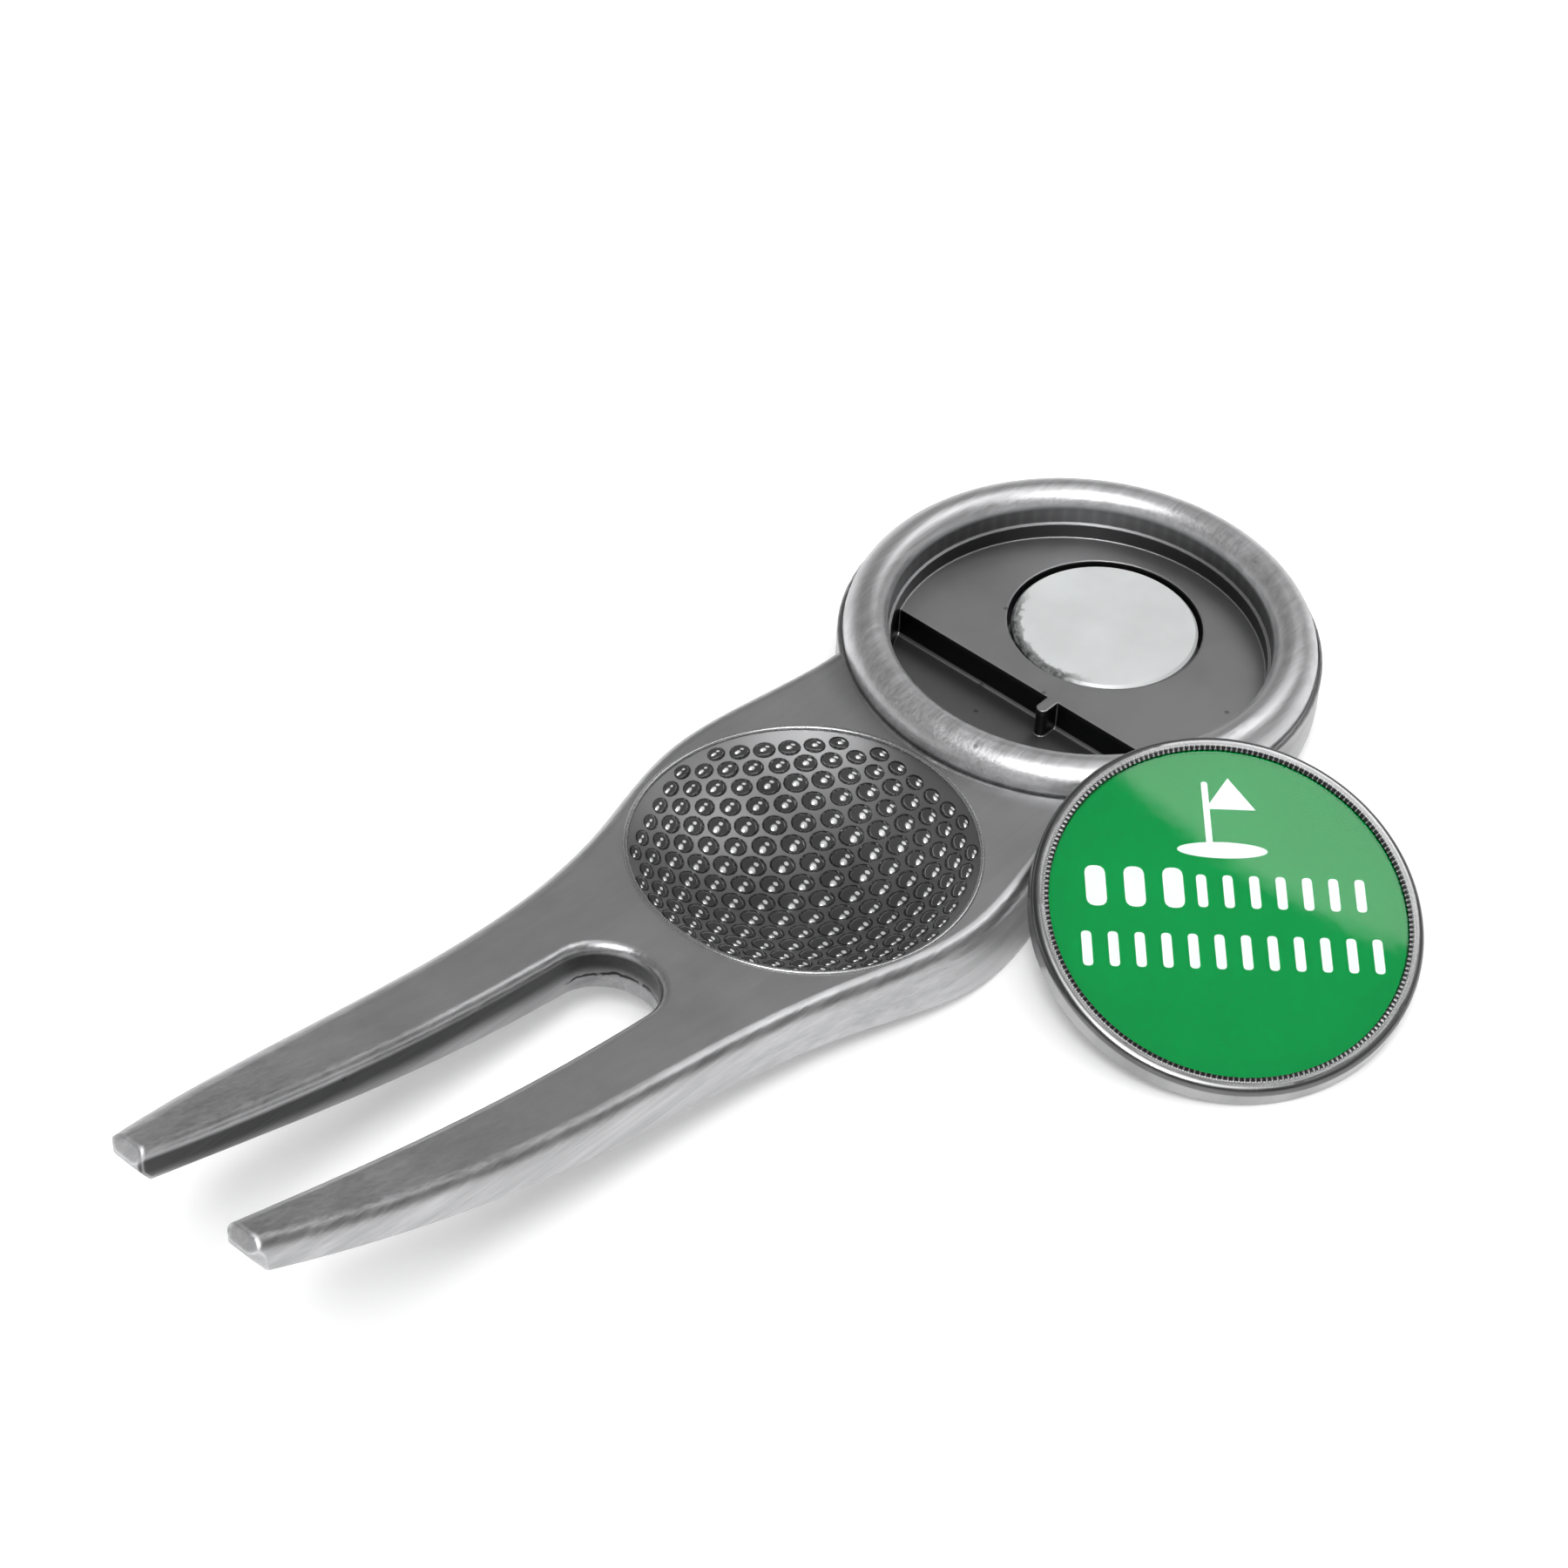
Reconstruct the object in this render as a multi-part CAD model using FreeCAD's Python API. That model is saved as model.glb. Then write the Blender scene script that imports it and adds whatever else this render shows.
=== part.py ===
import FreeCAD, Part
import math
import os

# Golf green repair tool with a cup for a lift-off ball marker.
# Origin: on the cup's axis, at the level of the surface the tool lies on.
# +X runs from the cup to the prong tips, +Z is up. Millimetres.

# ---- head and cup -------------------------------------------------------
plate_top_z = 5.7            # top of the round plate under the rim bead
plate_overhang = 0.35        # plate edge beyond the rim bead
plate_bottom_round = 3.0
plate_top_round = 0.18
bead_width = 2.9             # cup mouth to the outside of the rim bead
bead_rise = 1.8              # bead top above the plate
bead_outer_round = 1.6
bead_inner_round = 1.2
groove_width = 0.17          # fine groove round the foot of the bead
groove_depth = 0.2
cup_ledge_below_bead = 2.3   # bead top to the fine ledge inside the cup
cup_ledge_width = 0.2
cup_floor_below_bead = 3.4   # bead top to the raised floor
low_floor_drop = 2.1         # raised floor to the low floor beside it
chord_x = 4.4                # straight edge between the two floors
rib_y = 1.5
rib_width = 0.8
rib_proud = 1.4
chord_foot_bevel = 0.16      # small slope left at the foot of the straight wall

# ---- ball marker --------------------------------------------------------
marker_r = 12.0
marker_thick = 1.8
marker_seat_clearance = 0.15  # all round, between marker and cup wall
marker_edge_round = 0.45
marker_back_round = 0.3
marker_rim_width = 1.0
print_depth = 0.7            # marker face down to the floor under the print
print_thick = 0.12
glue_line_clearance = 0.05   # all round, between print or resin and the rim
resin_edge_below_face = 0.15
resin_crown = 0.12
lean_azimuth_deg = 59.2      # direction in plan in which the marker leans out
lean_touch_inset = 0.6       # marker edge down to where it rests on the bead
lean_gap = 0.15              # air left between the marker and the bead

# ---- magnet -------------------------------------------------------------
magnet_r = 6.1
magnet_thick = 2.0
magnet_x = -3.8
magnet_y = -0.75
magnet_side_clearance = 0.3
magnet_below_floor = 0.1
magnet_edge_chamfer = 0.18
adhesive_thick = 0.15

# ---- neck and prongs ----------------------------------------------------
reach = 75.9                 # cup axis to the prong tips
waist_x = 13.2
waist_half = 10.75
shoulder_x = 25.4
shoulder_half = 12.36
taper_x = 34.0
taper_half = 10.3
prong_root_x = 41.0
prong_root_half = 8.97
prong_mid_x = 55.0
prong_mid_half = 8.13
prong_far_x = 68.0
prong_far_half = 7.12
prong_end_half = 5.75
neck_start_rise = 0.17       # top of the neck above the plate's top, at its start
top_dip = 0.34               # top of the neck under the plate's top, at the dish
prong_root_rise = 0.56       # rises of the prong's top above the plate's top
prong_mid_rise = 3.0
tip_rise = 9.35
neck_under_rise = 0.86       # underside of the neck above the table, at the dish
neck_start_x = 5.5           # the neck starts inside the head
neck_start_flare = 0.5       # how much wider than the waist it is there
prong_root_thick = 3.42
prong_mid_thick = 2.92
tip_thick = 2.25
flat_end_x = 19.5            # the underside is flat from the head to here
edge_round = 1.0             # top edges of the neck and the prongs
under_edge_round = 0.3
slot_half = 3.3
slot_web = 3.4               # metal between the dish and the slot
slot_edge_round = 0.55
tip_slope_deg = 19.0         # rise of the prong at its end
tip_outer_round = 1.1        # corners of each tip, seen from above
tip_inner_round = 0.7
tip_top_facet = 0.6          # how far back each facet starts
tip_top_facet_drop = 1.1     # and how far it comes down, or up, the end face
tip_under_facet = 0.7
tip_under_facet_rise = 0.9
tip_flare = 0.275            # how much wider a prong is where its end corners start
tip_inner_slack = 0.14       # air between the slot wall and the block that shapes a tip

# ---- dish ---------------------------------------------------------------
dish_gap = 0.25              # plate edge to the edge of the dish
dish_r = 10.8
ball_r = 21.35               # a golf ball's radius sets the dish's curve

# ---- sizes that follow --------------------------------------------------
bead_top_z = plate_top_z + bead_rise
bead_mid_z = bead_top_z - bead_outer_round
seat_r = marker_r + marker_seat_clearance
cup_mouth_r = seat_r + cup_ledge_width
bead_r = cup_mouth_r + bead_width
bead_mid_r = bead_r - bead_outer_round
plate_r = bead_r + plate_overhang
dish_x = plate_r + dish_gap + dish_r
slot_end_x = dish_x + dish_r + slot_web
ledge_z = bead_top_z - cup_ledge_below_bead
floor_z = bead_top_z - cup_floor_below_bead
low_floor_z = floor_z - low_floor_drop
pocket_r = magnet_r + magnet_side_clearance
pocket_z = floor_z - magnet_below_floor - magnet_thick - adhesive_thick
overrun = 5.0                # how far cutters run past what they cut
small_overrun = 0.5
cutter_size = 30.0

Y = FreeCAD.Vector(0, 1, 0)
Z = FreeCAD.Vector(0, 0, 1)
ORIGIN = FreeCAD.Vector(0, 0, 0)


def point(x, y, z):
    return FreeCAD.Vector(x, y, z)


def arc(start, through, end):
    return Part.Arc(start, through, end).toShape()


def corner_arc(centre_x, centre_z, radius, from_deg, to_deg):
    """Arc in the XZ plane between two angles about a centre."""
    at = [math.radians(a) for a in (from_deg, (from_deg + to_deg) / 2.0, to_deg)]
    spots = [point(centre_x + radius * math.cos(a), 0, centre_z + radius * math.sin(a)) for a in at]
    return arc(*spots)


def closed_profile(pieces):
    """Join edges and loose points, in order, into one closed XZ face."""
    edges = []
    last = None
    first = None
    for piece in pieces:
        is_edge = isinstance(piece, Part.Shape)
        start = piece.valueAt(piece.FirstParameter) if is_edge else piece
        if last is not None and (start - last).Length > 1e-6:
            edges.append(Part.makeLine(last, start))
        if is_edge:
            edges.append(piece)
            last = piece.valueAt(piece.LastParameter)
        else:
            last = start
        if first is None:
            first = start
    if (first - last).Length > 1e-6:
        edges.append(Part.makeLine(last, first))
    return Part.Face(Part.Wire(edges))


def turned(pieces):
    """A closed XZ profile turned round the Z axis."""
    return closed_profile(pieces).revolve(ORIGIN, Z, 360)


def smooth_line(points, start_way=None, end_way=None):
    """Smooth curve through points; with both end directions given, it leaves and ends along them."""
    curve = Part.BSplineCurve()
    if start_way is None:
        curve.interpolate(Points=points)
    else:
        curve.interpolate(Points=points, InitialTangent=start_way, FinalTangent=end_way)
    return curve.toShape()


def edges_where(shape, test):
    """Edges all of whose sampled points pass a test."""
    chosen = []
    for edge in shape.Edges:
        if edge.Length > 1e-3 and all(test(p) for p in edge.discretize(9)):
            chosen.append(edge)
    return chosen


# ---- side and plan curves of the neck and prongs -------------------------
far_x = reach + overrun
top_line = smooth_line(
    [
        point(neck_start_x, 0, plate_top_z + neck_start_rise),
        point(dish_x, 0, plate_top_z - top_dip),
        point(prong_root_x, 0, plate_top_z + prong_root_rise),
        point(prong_mid_x, 0, plate_top_z + prong_mid_rise),
        point(reach, 0, plate_top_z + tip_rise),
    ],
    point(1, 0, 0),
    point(1, 0, math.tan(math.radians(tip_slope_deg))),
)
under_line = smooth_line(
    [
        point(flat_end_x, 0, 0),
        point(dish_x, 0, neck_under_rise),
        point(prong_root_x, 0, plate_top_z + prong_root_rise - prong_root_thick),
        point(prong_mid_x, 0, plate_top_z + prong_mid_rise - prong_mid_thick),
        point(reach, 0, plate_top_z + tip_rise - tip_thick),
    ],
    point(1, 0, 0),
    point(1, 0, math.tan(math.radians(tip_slope_deg))),
)
side_line = smooth_line(
    [
        point(neck_start_x, waist_half + neck_start_flare, 0),
        point(waist_x, waist_half, 0),
        point(shoulder_x, shoulder_half, 0),
        point(taper_x, taper_half, 0),
        point(prong_root_x, prong_root_half, 0),
        point(prong_mid_x, prong_mid_half, 0),
        point(prong_far_x, prong_far_half, 0),
        point(reach, prong_end_half, 0),
    ]
)


def neck_and_prongs():
    """Plan outline and side profile crossed, edges rounded, then slotted and cut to length."""
    side_end = side_line.valueAt(side_line.LastParameter)
    side_start = side_line.valueAt(side_line.FirstParameter)
    near = side_line.mirror(ORIGIN, Y)
    outline = Part.Face(
        Part.Wire(
            [
                side_line,
                Part.makeLine(side_end, point(side_end.x, -side_end.y, 0)),
                near.reversed(),
                Part.makeLine(point(side_start.x, -side_start.y, 0), side_start),
            ]
        )
    )
    outline.translate(point(0, 0, -overrun))
    prism = outline.extrude(point(0, 0, plate_top_z + tip_rise + 3 * overrun))
    top_start = top_line.valueAt(top_line.FirstParameter)
    top_end = top_line.valueAt(top_line.LastParameter)
    under_start = under_line.valueAt(under_line.FirstParameter)
    under_end = under_line.valueAt(under_line.LastParameter)
    profile = Part.Face(
        Part.Wire(
            [
                top_line,
                Part.makeLine(top_end, under_end),
                under_line.reversed(),
                Part.makeLine(under_start, point(top_start.x, 0, 0)),
                Part.makeLine(point(top_start.x, 0, 0), top_start),
            ]
        )
    )
    width = 2 * (shoulder_half + overrun)
    profile.translate(point(0, -width / 2, 0))
    solid = prism.common(profile.extrude(point(0, width, 0))).Solids[0]

    long_edges = [e for e in solid.Edges if e.Length > reach / 3]
    solid = solid.makeFillet(edge_round, [e for e in long_edges if lies_on(e, top_line)])
    under = [e for e in solid.Edges if e.Length > reach / 3 and lies_on(e, under_line)]
    solid = solid.makeFillet(under_edge_round, under)

    slot_centre_x = slot_end_x + slot_half
    mouth = point(reach + overrun, slot_half, 0)
    slot_wire = Part.Wire(
        [
            arc(
                point(slot_centre_x, slot_half, 0),
                point(slot_end_x, 0, 0),
                point(slot_centre_x, -slot_half, 0),
            ),
            Part.makeLine(point(slot_centre_x, -slot_half, 0), point(mouth.x, -mouth.y, 0)),
            Part.makeLine(point(mouth.x, -mouth.y, 0), mouth),
            Part.makeLine(mouth, point(slot_centre_x, slot_half, 0)),
        ]
    )
    slot = Part.Face(slot_wire).extrude(point(0, 0, plate_top_z + tip_rise + overrun))
    solid = solid.cut(slot)
    slot_edges = edges_where(solid, lambda p: abs(p.y) < slot_half + 1e-3 and p.x > slot_end_x - 1e-3)
    solid = solid.makeFillet(slot_edge_round, [e for e in slot_edges if lies_on(e, top_line)])
    return tips_cut(solid)


def lies_on(edge, side_curve):
    """True if an edge, seen from the side, runs along a side-view curve."""
    for p in edge.discretize(7):
        flat = Part.Vertex(point(p.x, 0, p.z))
        if flat.distToShape(side_curve)[0] > 1e-3:
            return False
    return True


def beyond(spot, way):
    """A block lying wholly on the far side of a plane through spot that faces way."""
    block = Part.makeBox(cutter_size, cutter_size, cutter_size, point(-cutter_size / 2, -cutter_size / 2, 0))
    block.Placement = FreeCAD.Placement(spot, FreeCAD.Rotation(Z, way))
    return block


def tips_cut(solid):
    """Round each tip's corners in plan, then put a facet on the top and one under it."""
    tall = plate_top_z + tip_rise + 3 * overrun
    corner_start = reach - tip_outer_round
    wide = 4 * shoulder_half
    keep = Part.makeBox(corner_start + overrun, wide, tall, point(-overrun, -wide / 2, -overrun))
    inside = slot_half - tip_inner_slack
    outside = prong_end_half + tip_flare
    for side in (1, -1):
        low_y = min(side * inside, side * outside)
        block_start = corner_start - small_overrun
        block = Part.makeBox(reach - block_start, outside - inside, tall, point(block_start, low_y, -overrun))
        upright = [e for e in block.Edges if e.BoundBox.XMin > reach - 1e-3 and e.BoundBox.YLength < 1e-3]
        outer = [e for e in upright if abs(e.BoundBox.YMin) > (inside + outside) / 2]
        block = block.makeFillet(tip_outer_round, outer)
        upright = [e for e in block.Edges if e.BoundBox.XLength < 1e-3 and e.BoundBox.YLength < 1e-3]
        inner = [e for e in upright if e.BoundBox.XMin > reach - 1e-3]
        block = block.makeFillet(tip_inner_round, inner)
        keep = keep.fuse(block)
    solid = solid.common(keep)

    end_top = plate_top_z + tip_rise
    end_under = end_top - tip_thick
    slope = math.tan(math.radians(tip_slope_deg))
    top_drop = tip_top_facet_drop - slope * tip_top_facet
    top_way = point(top_drop, 0, tip_top_facet)
    solid = solid.cut(beyond(point(reach, 0, end_top - tip_top_facet_drop), top_way))
    under_rise = tip_under_facet_rise + slope * tip_under_facet
    under_way = point(under_rise, 0, -tip_under_facet)
    return solid.cut(beyond(point(reach, 0, end_under + tip_under_facet_rise), under_way))


def head():
    """Round plate with the rim bead and the cup's walls and raised floor."""
    plate_in_r = plate_r - plate_top_round
    groove_z = plate_top_z - groove_depth
    inner_mid_r = cup_mouth_r + bead_inner_round
    return turned(
        [
            point(0, 0, 0),
            corner_arc(plate_r - plate_bottom_round, plate_bottom_round, plate_bottom_round, -90, 0),
            corner_arc(plate_in_r, plate_top_z - plate_top_round, plate_top_round, 0, 90),
            point(bead_r + groove_width, 0, plate_top_z),
            point(bead_r + groove_width, 0, groove_z),
            point(bead_r, 0, groove_z),
            corner_arc(bead_mid_r, bead_mid_z, bead_outer_round, 0, 90),
            corner_arc(inner_mid_r, bead_top_z - bead_inner_round, bead_inner_round, 90, 180),
            point(cup_mouth_r, 0, ledge_z),
            point(seat_r, 0, ledge_z),
            point(seat_r, 0, floor_z),
            point(0, 0, floor_z),
        ]
    )


def tool():
    neck = neck_and_prongs()
    tall = plate_top_z + overrun
    neck = neck.cut(Part.makeCylinder(bead_mid_r, tall))
    foot_groove = Part.makeCylinder(bead_r + groove_width, tall, point(0, 0, plate_top_z - groove_depth))
    neck = neck.cut(foot_groove)
    body = head().fuse(neck).removeSplitter()

    low_floor = Part.makeCylinder(seat_r, low_floor_drop + small_overrun, point(0, 0, low_floor_z))
    low_side = Part.makeBox(2 * seat_r, 2 * seat_r, tall, point(chord_x, -seat_r, 0))
    rib_nose_x = chord_x + rib_proud - rib_width / 2
    nose = Part.makeCylinder(rib_width / 2, low_floor_drop, point(rib_nose_x, rib_y, low_floor_z))
    rib_foot = point(chord_x - small_overrun, rib_y - rib_width / 2, low_floor_z)
    rib_web = Part.makeBox(rib_nose_x - rib_foot.x, rib_width, low_floor_drop, rib_foot)
    rib = nose.fuse(rib_web)
    bar = chord_foot_bevel * math.sqrt(2)
    foot = Part.makeBox(bar, 2 * seat_r, bar, point(-bar / 2, 0, -bar / 2))
    foot.Placement = FreeCAD.Placement(point(chord_x, -seat_r, low_floor_z), FreeCAD.Rotation(Y, 45))
    body = body.cut(low_floor.common(low_side).cut(rib).cut(foot))
    body = body.cut(Part.makeCylinder(pocket_r, tall, point(magnet_x, magnet_y, pocket_z)))

    dish_rim_z = plate_top_z - top_dip
    ball_z = dish_rim_z + math.sqrt(ball_r ** 2 - dish_r ** 2)
    ball = Part.makeSphere(ball_r, point(dish_x, 0, ball_z))
    body = body.cut(ball.common(Part.makeCylinder(dish_r, ball_z, point(dish_x, 0, 0))))
    return body.removeSplitter()


def magnet_parts():
    adhesive = Part.makeCylinder(magnet_r, adhesive_thick, point(magnet_x, magnet_y, pocket_z))
    magnet = turned(
        [
            point(0, 0, 0),
            point(magnet_r - magnet_edge_chamfer, 0, 0),
            point(magnet_r, 0, magnet_edge_chamfer),
            point(magnet_r, 0, magnet_thick - magnet_edge_chamfer),
            point(magnet_r - magnet_edge_chamfer, 0, magnet_thick),
            point(0, 0, magnet_thick),
        ]
    )
    magnet.translate(point(magnet_x, magnet_y, pocket_z + adhesive_thick))
    return magnet, adhesive


def marker_parts():
    """Marker lying face up with the middle of its back at the origin."""
    rim_in_r = marker_r - marker_rim_width
    print_z = marker_thick - print_depth
    edge_z = marker_thick - marker_edge_round
    cup = turned(
        [
            point(0, 0, 0),
            corner_arc(marker_r - marker_back_round, marker_back_round, marker_back_round, -90, 0),
            corner_arc(marker_r - marker_edge_round, edge_z, marker_edge_round, 0, 90),
            point(rim_in_r, 0, marker_thick),
            point(rim_in_r, 0, print_z),
            point(0, 0, print_z),
        ]
    )
    fill_r = rim_in_r - glue_line_clearance
    printed = Part.makeCylinder(fill_r, print_thick, point(0, 0, print_z))
    resin_edge_z = marker_thick - resin_edge_below_face
    crown_ball_r = (fill_r ** 2 + resin_crown ** 2) / (2 * resin_crown)
    crown_ball_z = resin_edge_z + resin_crown - crown_ball_r
    half_way = math.degrees(math.asin(fill_r / crown_ball_r))
    crown = corner_arc(0, crown_ball_z, crown_ball_r, 90 - half_way, 90)
    resin = turned([point(0, 0, print_z + print_thick), point(fill_r, 0, print_z + print_thick), crown])
    return cup, printed, resin


def marker_place():
    """Marker leaning out from the head: lower edge on the table, back against the bead."""
    along_back = 2 * marker_r - lean_touch_inset
    off_bead = bead_outer_round + lean_gap
    tilt = math.asin(bead_mid_z / math.hypot(along_back, off_bead)) + math.atan2(off_bead, along_back)
    touch_out = bead_mid_r + off_bead * math.sin(tilt)
    foot_out = touch_out + along_back * math.cos(tilt)
    middle_out = foot_out - marker_r * math.cos(tilt)
    middle_up = marker_r * math.sin(tilt)
    lean = FreeCAD.Placement(point(middle_out, 0, middle_up), FreeCAD.Rotation(Y, math.degrees(tilt)))
    swing = FreeCAD.Placement(ORIGIN, FreeCAD.Rotation(Z, lean_azimuth_deg))
    return swing.multiply(lean)


def save(name, shape):
    shape.exportStep("parts/" + name + ".step")


os.makedirs("parts", exist_ok=True)
save("tool_body", tool())
magnet, adhesive = magnet_parts()
save("magnet", magnet)
save("magnet_adhesive", adhesive)
place = marker_place()
for name, shape in zip(("marker_cup", "marker_print", "marker_resin"), marker_parts()):
    shape.Placement = place
    save(name, shape)
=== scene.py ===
import math
import random

import bpy
from mathutils import Matrix, Vector


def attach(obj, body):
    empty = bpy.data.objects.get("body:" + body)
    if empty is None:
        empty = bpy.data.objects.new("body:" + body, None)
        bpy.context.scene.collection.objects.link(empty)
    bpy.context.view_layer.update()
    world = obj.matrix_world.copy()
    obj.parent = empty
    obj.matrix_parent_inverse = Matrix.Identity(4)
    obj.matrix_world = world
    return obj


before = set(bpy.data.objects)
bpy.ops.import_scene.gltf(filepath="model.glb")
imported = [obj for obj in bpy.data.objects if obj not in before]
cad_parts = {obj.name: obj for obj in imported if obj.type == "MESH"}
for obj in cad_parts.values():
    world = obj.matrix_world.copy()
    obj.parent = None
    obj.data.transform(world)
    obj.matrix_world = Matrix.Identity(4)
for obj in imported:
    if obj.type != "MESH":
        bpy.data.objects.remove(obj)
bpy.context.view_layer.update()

MM = 0.001

# ---- sizes, in millimetres, as the metal parts have them --------------------
CHORD_X = 4.4             # the straight edge from the cup's raised floor to its low one
MAGNET_X = -3.8
MAGNET_Y = -0.75
DISH_X = 26.65
DISH_R = 10.8
DISH_RIM_Z = 5.36
BALL_R = 21.35            # the ball the dish is part of
SLOT_HALF = 3.3
SLOT_END_X = 40.85
PRONG_TOP_Z = 5.9         # the top of the prongs where the dish ends,
PRONG_TOP_SLOPE = 0.0947  # how steeply it leaves from there
PRONG_TOP_CURVE = 3.73    # and how it sweeps up, per metre
MARKER_RIM_IN_R = 11.0
RESIN_R = 10.95
RESIN_RISE = 0.55
RESIN_CROWN = 0.12

# ---- where a finish changes, in millimetres: not yet at the first, in full at the second
CUP_INSIDE_R = (12.5, 12.28)
CUP_INSIDE_Z = (6.8, 6.3)
LOW_FLOOR_Z = (3.9, 3.6)
LOW_FLOOR_X = (CHORD_X - 0.1, CHORD_X)
DISH_INSIDE_R = (DISH_R + 0.02, DISH_R - 0.04)
SLOT_INSIDE_R = (SLOT_HALF + 0.25, SLOT_HALF + 0.1)
SLOT_SHADE_TOP = (0.35, 0.8)        # below the prongs' top
SLOT_SHADE_FOOT = (2.7, 1.5)
BEAD_Z = (5.6, 6.0)
NECK_R = (15.2, 15.6)               # from the cup's middle
BEAD_FOOT_R = (17.6, 15.5)
SEAM_HALF = (0.14, 0.07)
SEAM_X = (44.2, 43.4)
TIP_ROUND_X = (72.0, 74.5)          # edges are rounder on the prongs' ends
TIP_WEAR_AND_SHEEN_X = (73.4, 75.4)           # and lighter there: worn plating, with a painted highlight
MAGNET_RIM_R = (5.35, 5.75)
MARKER_STEP_R = (MARKER_RIM_IN_R + 0.32, MARKER_RIM_IN_R + 0.2)
MARKER_SHOULDER_R = (11.62, 11.8)
MARKER_SHOULDER_UP = (0.0, 0.25)    # above the printed face

SEAM_Z = 4.1              # the parting line in the slot's round end
SEAM_WANDER = 0.7
MAGNET_RAGGED = 1.3       # how far the chips eat in from the magnet's rim
CHIP_WAY = (0.90, -0.44, 0.0)
MARKER_TEETH = 210.0      # serrations round the marker's step

# ---- the dish's pips and lip --------------------------------------------------
PIP_PITCH = 1.86          # between neighbours in the middle of the dish
PIP_ROWS = 12             # each way from the middle
PIP_ROW_TURN = 141.6      # degrees, which way the rows run
PIP_BALL_R = 11.9         # the rows close up towards the rim as on a ball of this size
PIP_LIMIT_R = 10.3
PIP_R = 0.88
PIP_RISE = 0.4
PIP_FOOT = 0.12           # how deep a pip stands in the dish's floor
PIP_SHRINK = 0.42         # towards the rim
PIP_SPREAD = 0.05         # chance part of its size
PIP_FLATTEN = 0.6         # how strongly a pip near the rim is pressed together
PIP_RISE_POWER = 1.2
LIP_R = 0.16
LIP_SUNK = 0.03
LIP_LIFT_SLOT = 0.53      # how much higher the lip is at the slot
LIP_LIFT_HEAD = 0.26      # and at the head

# ---- the marker's print -------------------------------------------------------
PRINT_RIGHT = (-0.666, 0.745, 0.0)  # which way its rows run, seen from above
PRINT_TURN = 2.5                    # degrees more, on the face
FACE_R = RESIN_R - 0.03
FACE_LIFT = 0.02                    # of the ink's middle above the insert
INK_LIFT = 0.045
INK_THICK = 0.014
INK_ROUND = 0.38                    # corner radius, as a share of a block's narrow side
POLE = (-0.75, 6.5, 0.4, 4.8)       # each: across, up, width and height
PUTTING_GREEN = (0.0, 4.2, 5.6, 1.1)
FLAG = (0.75, 7.75, 3.6, 2.9)
ROWS_OF_BLOCKS = (                  # left end, right end, up, height, width, count
    (-8.6, -2.6, 1.55, 2.7, 1.25, 3),
    (-1.8, 8.6, 1.4, 2.2, 0.62, 7),
    (-9.1, 9.3, -2.65, 2.3, 0.62, 12),
)

# ---- the studio ----------------------------------------------------------------
FLOOR_SIZE = 6.0          # metres
FLOOR_GLOW = 0.22
ROOM_LIGHT = 0.27
BACKDROP_LIGHT = 0.6
BACKDROP_HEIGHT = (0.26, 0.16)      # as the sine of the elevation
LAMPS = (                 # azimuth, elevation, outer and inner half-angle, all in degrees; light
    (60, 81, 20, 12, 0.8),          # pale ceiling
    (30, 57, 9, 7, 20.0),           # key lamp, above the camera
    (45, 66, 27, 15, 2.2),          # wide soft panel round it
    (176, 56, 14, 13.2, 2.6),       # sharp-edged lamp beside the head
)
CAMERA_AZIMUTH = 39.89    # degrees
CAMERA_ELEVATION = 42.83
CAMERA_ROLL = 2.85
CAMERA_TARGET = (23.68, -4.315, 5.9)
CAMERA_DISTANCE = 0.2404  # metres
CAMERA_LENS = 90.05


# ---- object helpers ------------------------------------------------------------
def deselect():
    if bpy.context.object and bpy.context.object.mode != "OBJECT":
        bpy.ops.object.mode_set(mode="OBJECT")
    bpy.ops.object.select_all(action="DESELECT")


def apply_place():
    """Put the new object's place into its mesh or curve, and return it."""
    bpy.ops.object.transform_apply(location=True, rotation=False, scale=False)
    return bpy.context.object


def own_copy(obj):
    """A copy of the object, with its own mesh."""
    copy = obj.copy()
    copy.data = obj.data.copy()
    bpy.context.collection.objects.link(copy)
    return copy


def join_all(pieces):
    """One object made of all the pieces."""
    deselect()
    for piece in pieces:
        piece.select_set(True)
    bpy.context.view_layer.objects.active = pieces[0]
    bpy.ops.object.join()
    return bpy.context.object


def paint(obj, material):
    if not obj.material_slots:
        obj.data.materials.append(material)
    for slot in obj.material_slots:
        slot.material = material


# ---- node helpers --------------------------------------------------------------
# A mix node has sockets for each kind of data: where its first value and its result stand.
MIX_SOCKETS = {"FLOAT": (2, 0), "VECTOR": (4, 1), "RGBA": (6, 2)}


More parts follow.
